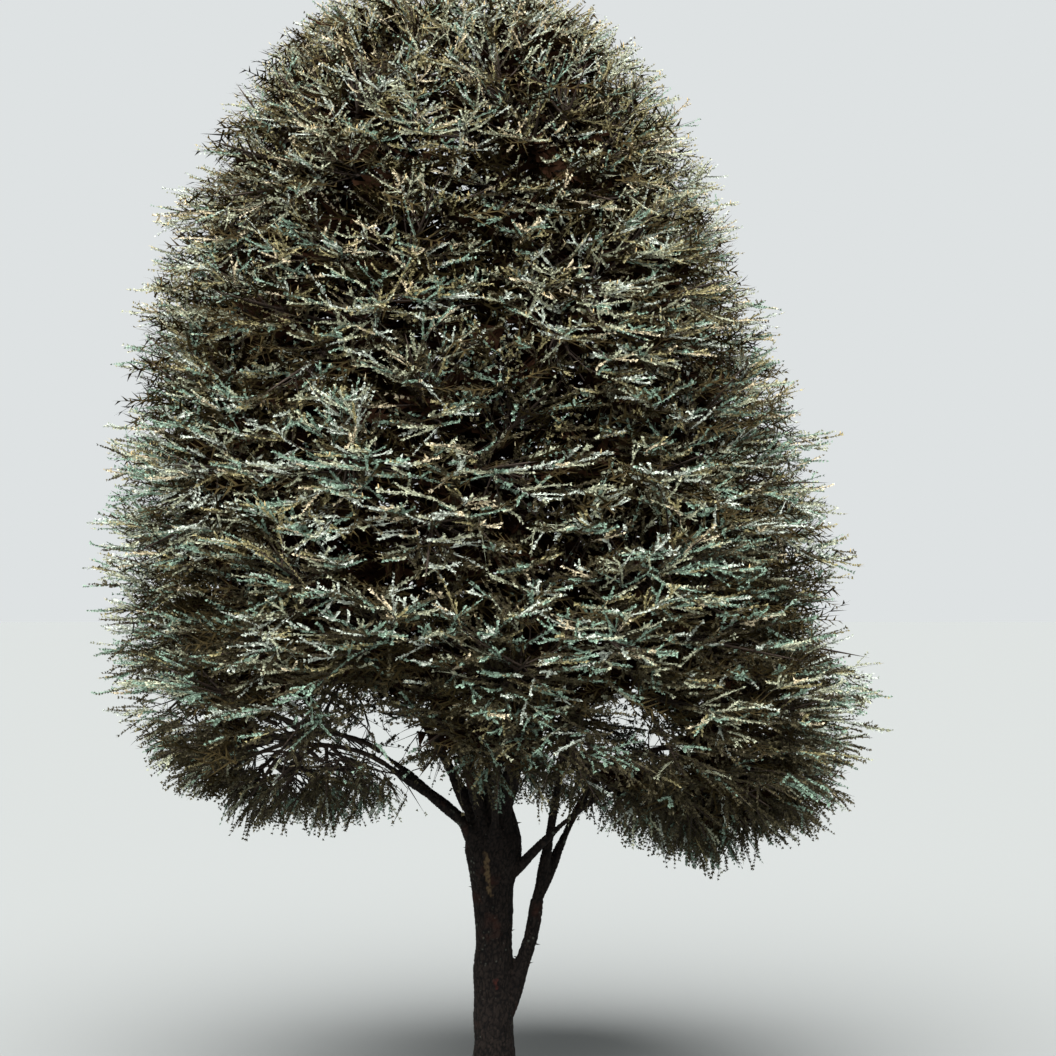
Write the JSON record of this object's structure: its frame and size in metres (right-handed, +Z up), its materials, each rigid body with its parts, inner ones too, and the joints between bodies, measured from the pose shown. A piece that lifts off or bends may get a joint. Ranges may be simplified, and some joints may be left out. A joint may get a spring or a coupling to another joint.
{
  "type": "cedar tree",
  "caption": "Blue cedar tree with a flared trunk, a low side stem, steep boughs and a dense egg-shaped crown of needle foliage in tiered masses.",
  "frame": {"origin": "middle of the flat cut under the trunk, at ground level", "axes": "+Z up, +X to the right as the picture shows the tree, -Y towards the viewer"},
  "size_m": [7.6538, 7.603, 11.0614],
  "materials": {
    "bark": "rough fissured bark",
    "needles": "waxy blue-green needles"
  },
  "bodies": {
    "root": {"trunk": "bark", "side_stem": "bark", "skirt_bough_1": "bark", "skirt_bough_2": "bark", "skirt_bough_3": "bark", "skirt_bough_4": "bark", "skirt_bough_5": "bark", "skirt_bough_6": "bark", "lower_bough_1": "bark", "lower_bough_2": "bark", "lower_bough_3": "bark", "lower_bough_4": "bark", "lower_bough_5": "bark", "lower_bough_6": "bark", "middle_bough_1": "bark", "middle_bough_2": "bark", "middle_bough_3": "bark", "middle_bough_4": "bark", "middle_bough_5": "bark", "middle_bough_6": "bark", "upper_bough_1": "bark", "upper_bough_2": "bark", "upper_bough_3": "bark", "upper_bough_4": "bark", "upper_bough_5": "bark", "high_bough_1": "bark", "high_bough_2": "bark", "high_bough_3": "bark", "high_bough_4": "bark", "skirt_foliage_1": "needles", "skirt_foliage_2": "needles", "skirt_foliage_3": "needles", "skirt_foliage_4": "needles", "skirt_foliage_5": "needles", "skirt_foliage_6": "needles", "lower_foliage_1": "needles", "lower_foliage_2": "needles", "lower_foliage_3": "needles", "lower_foliage_4": "needles", "lower_foliage_5": "needles", "lower_foliage_6": "needles", "middle_foliage_1": "needles", "middle_foliage_2": "needles", "middle_foliage_3": "needles", "middle_foliage_4": "needles", "middle_foliage_5": "needles", "middle_foliage_6": "needles", "upper_foliage_1": "needles", "upper_foliage_2": "needles", "upper_foliage_3": "needles", "upper_foliage_4": "needles", "upper_foliage_5": "needles", "high_foliage_1": "needles", "high_foliage_2": "needles", "high_foliage_3": "needles", "high_foliage_4": "needles", "top_foliage": "needles"}
  },
  "joints": []
}
